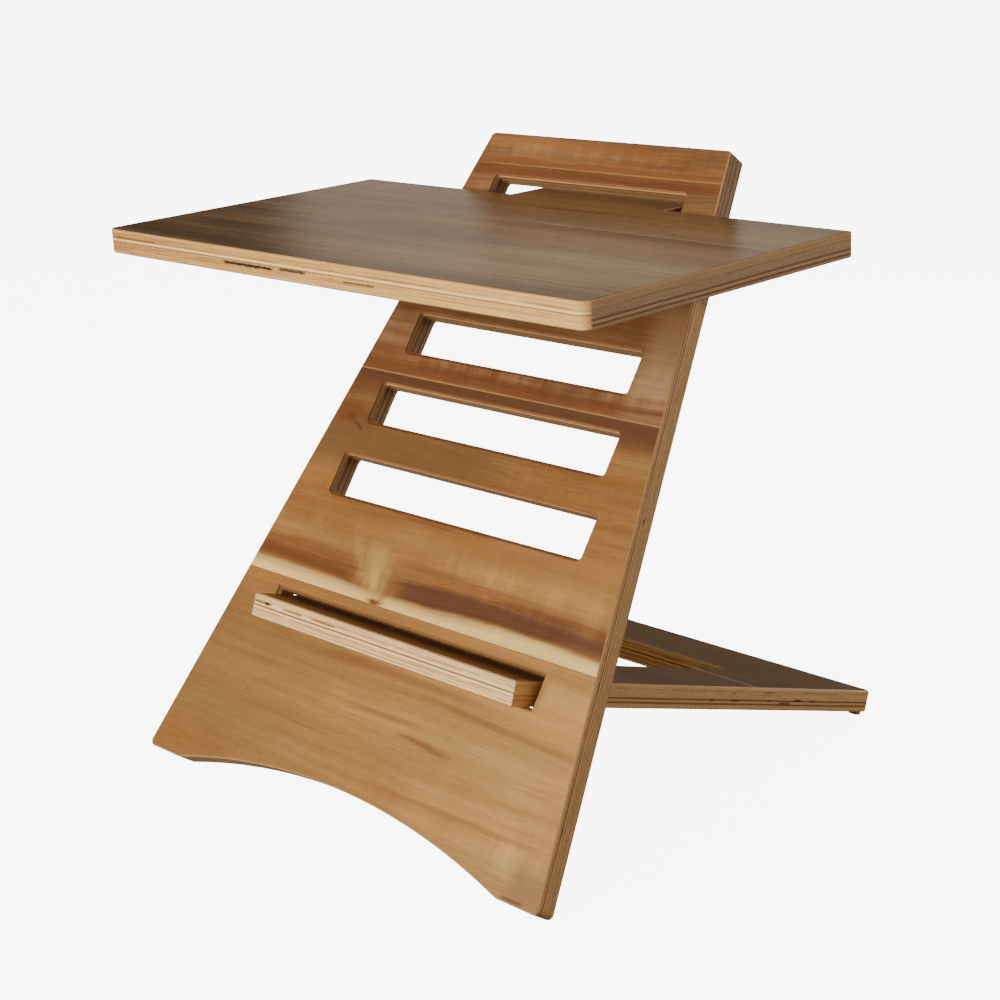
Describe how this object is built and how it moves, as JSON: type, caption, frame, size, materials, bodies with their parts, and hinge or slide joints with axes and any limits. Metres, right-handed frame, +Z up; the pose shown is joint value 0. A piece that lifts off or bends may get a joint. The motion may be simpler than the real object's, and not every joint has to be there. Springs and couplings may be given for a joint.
{
  "type": "laptop stand",
  "caption": "Knock-down plywood stand: a leaning slotted panel, a laptop shelf that wedges into a slot at a chosen height, and a hollow strut that props the panel from behind.",
  "frame": {"origin": "on the floor, below the middle of the whole stand (middle of its width and of its depth)", "axes": "+X to the right of a person at the stand, +Y to the rear, +Z up"},
  "size_m": [0.501, 0.5044, 0.4946],
  "materials": {
    "ply_edge": "sanded and oiled plywood edge",
    "panel_veneer": "satin oiled veneer",
    "shelf_veneer": "satin oiled veneer",
    "strut_veneer": "satin oiled veneer",
    "bumper": "matt dark brown"
  },
  "bodies": {
    "panel": {"panel_core": "ply_edge", "panel_front_veneer_lower": "panel_veneer", "panel_front_veneer_middle": "panel_veneer", "panel_front_veneer_upper": "panel_veneer", "panel_rear_veneer": "panel_veneer"},
    "shelf": {"shelf_core": "ply_edge", "shelf_top_veneer_front": "shelf_veneer", "shelf_top_veneer_rear": "shelf_veneer", "shelf_bottom_veneer": "shelf_veneer"},
    "strut": {"strut_core": "ply_edge", "strut_top_veneer_front": "strut_veneer", "strut_top_veneer_rear": "strut_veneer", "strut_bottom_veneer": "strut_veneer", "bumper_left": "bumper", "bumper_right": "bumper"}
  },
  "joints": [
    {"name": "shelf_slide", "type": "slide", "parent": "panel", "child": "shelf", "axis": [0, -0.9977, -0.068], "range_m": [0, 0.0574]},
    {"name": "strut_slide", "type": "slide", "parent": "panel", "child": "strut", "axis": [0, 0.9632, -0.2689], "range_m": [0, 0.044]}
  ]
}
